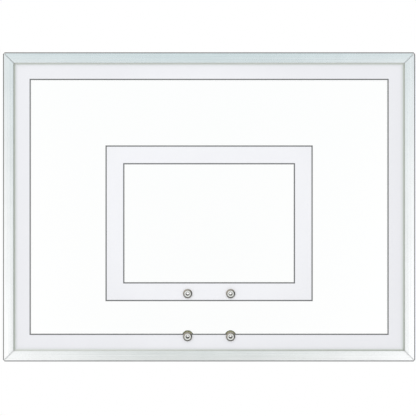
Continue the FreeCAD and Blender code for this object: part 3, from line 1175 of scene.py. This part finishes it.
@dataclass
class GoalFittings:
    """Bushings that the goal is bolted through, with their sleeves, washers and nuts."""

    board: Board
    spacing: float = 127.0 * MM
    middle: float = -320.1 * MM
    bore: float = 4.4 * MM
    bore_chamfer: float = 2.0 * MM
    bore_sink: float = 1.1 * MM
    tube: float = 8.0 * MM
    rim: float = 13.75 * MM
    face: float = 9.3 * MM
    rim_height: float = 2.4 * MM
    flange_height: float = 5.5 * MM
    bushing_ease: float = 0.4 * MM
    sleeve_flange: float = 13.4 * MM
    sleeve_flange_height: float = 1.6 * MM
    sleeve_body: float = 10.95 * MM
    sleeve_bore: float = 8.15 * MM
    sleeve_ease: float = 0.3 * MM
    washer: float = 17.0 * MM
    washer_height: float = 2.4 * MM
    washer_ease: float = 0.5 * MM
    nut_width: float = 24.0 * MM
    nut_height: float = 8.0 * MM
    nut_bore: float = 8.1 * MM
    nut_cone_share: float = 0.97
    nut_sink: float = 0.8 * MM
    overrun: float = 1.0 * MM
    turn_seed: int = 5
    segments: int = 96
    ease_steps: int = 4

    def rounded(self, name: str, corners: Sequence[Corner], bored: float = 0.0) -> bpy.types.Mesh:
        """Mesh turned from a closed outline of (radius, y, ease) corners, bored along its first stretch."""
        rings = [plain_ring(radius, y) for radius, y in eased_loop(corners, self.ease_steps)]
        return ringed_mesh(name, rings, self.segments, bored=bored)

    def bushing(self) -> bpy.types.Mesh:
        """Make one bushing: bevelled flange, tube and countersunk bore.

        Returns:
            The mesh.
        """
        seat = self.board.glass_front - self.sleeve_flange_height
        front = seat - self.flange_height
        end = self.board.glass_rear + self.washer_height + self.nut_height + self.overrun
        fine = self.bushing_ease
        return self.rounded("bushing", [
            (self.bore, end, fine),
            (self.bore, front + self.bore_sink, fine / 2),
            (self.bore + self.bore_chamfer, front, fine / 2),
            (self.face, front, fine),
            (self.rim, seat - self.rim_height, fine),
            (self.rim, seat, fine / 2),
            (self.tube, seat, 0),
            (self.tube, end, fine),
        ], end - front + self.bore_sink)

    def sleeve(self) -> bpy.types.Mesh:
        """Make one nylon sleeve with its front flange.

        Returns:
            The mesh.
        """
        front = self.board.glass_front
        seat = front - self.sleeve_flange_height
        return self.rounded("sleeve", [
            (self.sleeve_bore, seat, 0),
            (self.sleeve_flange, seat, self.sleeve_ease),
            (self.sleeve_flange, front - self.board.touch, self.sleeve_ease),
            (self.sleeve_body, front - self.board.touch, 0),
            (self.sleeve_body, self.board.glass_rear, 0),
            (self.sleeve_bore, self.board.glass_rear, 0),
        ])

    def rear_washer(self) -> bpy.types.Mesh:
        """Make one fibre washer with pressed edges.

        Returns:
            The mesh.
        """
        front = self.board.glass_rear + self.board.touch
        rear = self.board.glass_rear + self.washer_height
        return self.rounded("rear_washer", [
            (self.sleeve_bore, front, 0),
            (self.washer, front, self.washer_ease),
            (self.washer, rear, self.washer_ease),
            (self.sleeve_bore, rear, self.washer_ease),
        ])

    def nut(self) -> bpy.types.Mesh:
        """Make one hexagon nut, its corners cut by a cone at both ends and its bore countersunk at the rear.

        Returns:
            The mesh.
        """
        front = self.board.glass_rear + self.washer_height
        rear = front + self.nut_height
        cone = self.nut_width / 2 * self.nut_cone_share
        rings = [
            plain_ring(self.nut_bore, front),
            plain_ring(cone, front),
            hexagon_ring(self.nut_width, front, cone, CONE_LEAN),
            hexagon_ring(self.nut_width, rear, cone, -CONE_LEAN),
            plain_ring(cone, rear),
            plain_ring(self.nut_bore + self.nut_sink, rear),
            plain_ring(self.nut_bore, rear - self.nut_sink),
        ]
        return ringed_mesh("nut", rings, self.segments)

    def build(self) -> None:
        """Stand four of each fitting at the goal holes."""
        places = PlacedSet("Goal Hole Places", 1)
        sizes = {"Width 0": self.spacing, "Height 0": self.spacing, "Rise 0": self.middle}
        kinds = (
            ("goal_bushings", self.bushing(), BUSHING_STEEL, 0.0),
            ("bushing_sleeves", self.sleeve(), SLEEVE_NYLON, 0.0),
            ("rear_washers", self.rear_washer(), WASHER_FIBRE, 0.0),
            ("bushing_nuts", self.nut(), NUT_STEEL, SIXTH_TURN),
        )
        for name, base, finish, turn in kinds:
            values = {**sizes, "Finish": finish.material(), "Turn Range": turn, "Seed": self.turn_seed}
            add_piece("dressed_" + name, places.mesh(name, base, values), finish, name)


@dataclass
class CornerJoints:
    """Plates, keys and screws that join the rails at the corners."""

    board: Board
    plate_ease: float = 0.7 * MM
    plate_steps: int = 3
    flat_limit: float = math.radians(1)
    screw_place: float = 110.0 * MM
    shank: float = 4.0 * MM
    shank_end: float = -17.9625 * MM
    point: float = 0.8 * MM
    head_width: float = 13.0 * MM
    head_height: float = 5.3 * MM
    head_foot: float = 0.4 * MM
    head_cone_share: float = 0.96
    dish_rim_share: float = 0.72
    dish_floor_share: float = 0.66
    dish_depth: float = 0.25 * MM
    turn_seed: int = 11
    segments: int = 48

    def plate(self, node: bpy.types.Object) -> bpy.types.Mesh:
        """Copy a plate with its sharp edges eased.

        Args:
            node: The plate's node.

        Returns:
            The mesh.
        """
        shape = welded_copy(node)
        bmesh.ops.dissolve_limit(shape, angle_limit=self.flat_limit, verts=shape.verts, edges=shape.edges)
        sharp = [edge for edge in shape.edges if edge.calc_face_angle(0.0) > SMOOTH_LIMIT]
        bmesh.ops.bevel(
            shape, geom=sharp, offset=self.plate_ease, segments=self.plate_steps, profile=ROUND_PROFILE,
            affect="EDGES")
        return finished_mesh(node.name, shape)

    def screw(self) -> bpy.types.Mesh:
        """Make one hexagon head screw with a chamfered, dished head and a chamfered point.

        Returns:
            The mesh.
        """
        cone = self.head_width / 2 * self.head_cone_share
        rings = [
            plain_ring(self.shank - self.point, self.shank_end),
            plain_ring(self.shank, self.shank_end + self.point),
            plain_ring(self.shank, 0.0),
            plain_ring(cone, 0.0),
            hexagon_ring(self.head_width, self.head_foot, 0.0, 0.0),
            hexagon_ring(self.head_width, self.head_height, cone, -CONE_LEAN),
            plain_ring(cone, self.head_height),
            plain_ring(cone * self.dish_rim_share, self.head_height),
            plain_ring(cone * self.dish_floor_share, self.head_height - self.dish_depth),
        ]
        return ringed_mesh("screw", rings, self.segments, capped=True)

    def build(self, nodes: dict[str, bpy.types.Object]) -> None:
        """Make the plates and screws, and dress the keys.

        Args:
            nodes: The nodes of the model by name.
        """
        for quarter in Quarter:
            name = "corner_plate_" + quarter.value
            add_piece("dressed_" + name, self.plate(nodes[name]), PLATE_STEEL, name)
            dress_node(nodes["corner_key_" + quarter.value], KEY_ALUMINIUM)
        places = PlacedSet("Corner Screw Places", 2)
        values = {
            "Width 0": self.board.width - 2 * self.screw_place,
            "Height 0": self.board.height - self.board.rail_face,
            "Rise 0": 0.0,
            "Width 1": self.board.width - self.board.rail_face,
            "Height 1": self.board.height - 2 * self.screw_place,
            "Rise 1": 0.0,
            "Finish": SCREW_STEEL.material(),
            "Turn Range": SIXTH_TURN,
            "Seed": self.turn_seed,
        }
        mesh = places.mesh("corner_screws", self.screw(), values)
        add_piece("dressed_corner_screws", mesh, SCREW_STEEL, "corner_screws")


@dataclass
class Studio:
    """Camera, soft light, white surroundings and a pale floor.

    The surroundings that polished surfaces see are given by the direction in which they are seen. The wall's
    rows hold a start and a slope along Z for each power of X, from the square down.
    """

    board: Board
    picture: int = 416
    pixel: float = 2.96 * MM
    distance: float = 2.6
    middle_pixel: Place = (209.1, 206.88)
    sensor_millimetres: float = 36.0
    diffuse_level: float = 0.95
    wall_rows: tuple[Pair, ...] = ((7.3, -31.0), (0.1, -0.5), (0.69, 0.32))
    wall_half_width: float = 0.24
    wall_half_height: float = 0.18
    wall_levels: Range = (0.5, 1.3)
    wall_fade: Range = (-0.66, -0.8)
    cool_below: Colour = (0.92, 0.99, 0.94)
    cool_above: Colour = (0.78, 1.0, 1.04)
    cool_rise: float = 0.16
    cool_levels: Range = (0.66, 1.0)
    side_lightest: Triple = (-0.55, 0.0, 0.835)
    side_range: Range = (-0.4, 1.0)
    side_dim: Colour = (0.22, 0.225, 0.22)
    side_pale: Colour = (0.9, 0.9, 0.9)
    side_warm: Colour = (1.05, 0.97, 0.87)
    warm_fade: Range = (-0.3, 0.0)
    rear_fade: Range = (0.0, 0.3)
    lamp_place: Triple = (-1.6, -2.6, 2.6)
    lamp_size: float = 1.6
    lamp_power: float = 20.0
    floor_level: float = -2.0
    floor_half: float = 3.6
    floor_white: float = 0.8
    floor_pitch: float = 3.0
    floor_dim: Colour = (0.92, 0.92, 0.92)
    floor_pale: Colour = (0.96, 0.96, 0.96)
    floor_shade: Colour = (0.28, 0.28, 0.28)
    shade_fade: Range = (0.62, 0.87)

    def camera(self) -> None:
        """Stand the camera square to the board, so that the board lies where the photograph has it."""
        data = bpy.data.cameras.new("camera")
        data.sensor_width = self.sensor_millimetres
        data.lens = self.sensor_millimetres * self.distance / (self.picture * self.pixel)
        eye = bpy.data.objects.new("camera", data)
        half = self.picture / 2
        x = (half - self.middle_pixel[0]) * self.pixel
        z = (self.middle_pixel[1] - half) * self.pixel
        eye.location = (x, self.board.glass_front - self.distance, z)
        eye.rotation_euler = (QUARTER_TURN, 0.0, 0.0)
        show(eye)
        bpy.context.scene.camera = eye

    def background_rays(self, graph: Graph) -> Socket:
        """Number that is one for rays that should see the plain background."""
        path = graph.add("ShaderNodeLightPath").outputs
        return graph.math("MAXIMUM", path["Is Camera Ray"], path["Is Transmission Ray"])

    def wall_light(self, graph: Graph, axes: Outputs) -> Socket:
        """Light the wall behind the camera: bright low at the sides, and cool where it is dim.

        Args:
            graph: Tree of the world.
            axes: Direction in which the wall is seen.

        Returns:
            Colour of the wall.
        """
        wide, high = self.wall_half_width, self.wall_half_height
        across = graph.span(axes["X"], -wide, wide, -wide, wide)
        up = graph.span(axes["Z"], -high, high, -high, high)
        level: Number = 0.0
        for start, slope in self.wall_rows:
            row = graph.math("ADD", graph.math("MULTIPLY", up, slope), start)
            level = graph.math("ADD", graph.math("MULTIPLY", level, across), row)
        least, most = self.wall_levels
        level = graph.math("MINIMUM", graph.math("MAXIMUM", level, least), most)
        above = graph.span(axes["Z"], 0.0, 1.0, -self.cool_rise, self.cool_rise)
        cool = graph.blend(above, rgba(self.cool_below), rgba(self.cool_above))
        tint = graph.blend(graph.span(level, 1.0, 0.0, *self.cool_levels), WHITE, cool)
        return graph.add("ShaderNodeVectorMath", {0: tint, "Scale": level}, operation="SCALE").outputs[0]

    def side_light(self, graph: Graph, toward: Socket) -> Socket:
        """Light the surroundings in the plane of the board: dim, lightest and warmest at the upper left.

        Args:
            graph: Tree of the world.
            toward: Direction in which they are seen.

        Returns:
            Colour of the surroundings.
        """
        pair = {0: toward, 1: self.side_lightest}
        facing = graph.add("ShaderNodeVectorMath", pair, operation="DOT_PRODUCT").outputs["Value"]
        lift = graph.span(facing, 0.0, 1.0, *self.side_range)
        ahead = graph.span(graph.axes(toward)["Y"], 1.0, 0.0, *self.warm_fade)
        light = graph.blend(ahead, rgba(self.side_pale), rgba(self.side_warm))
        return graph.blend(lift, rgba(self.side_dim), light)

    def world(self) -> None:
        """White backdrop for the eye, even light for matt surfaces and a studio for polished ones."""
        world = bpy.data.worlds.new("studio")
        bpy.context.scene.world = world
        world.use_nodes = True
        graph = Graph(world.node_tree)
        toward = graph.add("ShaderNodeTexCoord").outputs["Generated"]
        axes = graph.axes(toward)
        in_front = graph.span(axes["Y"], 0.0, 1.0, *self.wall_fade)
        behind = graph.span(axes["Y"], 0.0, 1.0, *self.rear_fade)
        studio = graph.blend(in_front, self.side_light(graph, toward), self.wall_light(graph, axes))
        studio = graph.blend(behind, studio, WHITE)
        even = rgba((self.diffuse_level,) * 3)
        lit = graph.blend(graph.add("ShaderNodeLightPath").outputs["Is Glossy Ray"], even, studio)
        seen = graph.blend(self.background_rays(graph), lit, WHITE)
        backdrop = graph.add("ShaderNodeBackground", {"Color": seen, "Strength": 1.0})
        graph.add("ShaderNodeOutputWorld", {0: backdrop.outputs[0]})

    def lamp(self) -> None:
        """Hang a square soft light that polished surfaces don't mirror, aimed at the middle of the board."""
        data = bpy.data.lights.new("key", "AREA")
        data.shape = "SQUARE"
        data.size = self.lamp_size
        data.energy = self.lamp_power
        lamp = bpy.data.objects.new("key", data)
        lamp.location = self.lamp_place
        lamp.rotation_euler = (-Vector(self.lamp_place)).to_track_quat("-Z", "Y").to_euler()
        lamp.visible_glossy = False
        show(lamp)

    def floor_material(self) -> bpy.types.Material:
        """Paint the floor: mostly white to the eye, with a painted shadow strip under the board that only
        polished surfaces see.

        Returns:
            The material.
        """
        material = bpy.data.materials.new("floor")
        material.use_nodes = True
        graph = Graph(material.node_tree)
        pale = graph.blend(graph.mottle(self.floor_pitch), rgba(self.floor_dim), rgba(self.floor_pale))
        off = graph.math("ABSOLUTE", graph.axes(graph.object_place())["Y"])
        under = graph.span(off, 1.0, 0.0, *self.shade_fade)
        path = graph.add("ShaderNodeLightPath").outputs
        mirrored = graph.math("SUBTRACT", path["Is Glossy Ray"], path["Is Transmission Ray"])
        tone = graph.blend(graph.math("MULTIPLY", under, mirrored), pale, rgba(self.floor_shade))
        matt = graph.add("ShaderNodeBsdfDiffuse", {"Color": tone})
        white = graph.add("ShaderNodeEmission", {"Color": WHITE, "Strength": 1.0})
        share = graph.math("MULTIPLY", self.background_rays(graph), self.floor_white)
        mixed = graph.add("ShaderNodeMixShader", {0: share, 1: matt.outputs[0], 2: white.outputs[0]})
        graph.add("ShaderNodeOutputMaterial", {0: mixed.outputs[0]})
        return material

    def floor(self) -> None:
        """Lay the floor."""
        shape = bmesh.new()
        bmesh.ops.create_grid(shape, x_segments=1, y_segments=1, size=self.floor_half)
        mesh = plain_mesh("floor", shape)
        mesh.materials.append(self.floor_material())
        floor = bpy.data.objects.new("floor", mesh)
        floor.location.z = self.floor_level
        show(floor)

    def build(self) -> None:
        """Set up the studio."""
        bpy.context.scene.view_settings.view_transform = "Standard"
        self.camera()
        self.world()
        self.lamp()
        self.floor()


def main() -> None:
    """Dress the part and set up its studio."""
    logging.basicConfig(level=logging.INFO, format="%(name)s: %(message)s")
    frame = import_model()
    nodes = frame["nodes"]
    RailFrame(BOARD).build()
    GasketRuns(BOARD).build()
    Glazing().build(nodes)
    Markings(BOARD).build(nodes)
    GoalFittings(BOARD).build()
    CornerJoints(BOARD).build(nodes)
    Studio(BOARD).build()


if __name__ == "__main__":
    main()
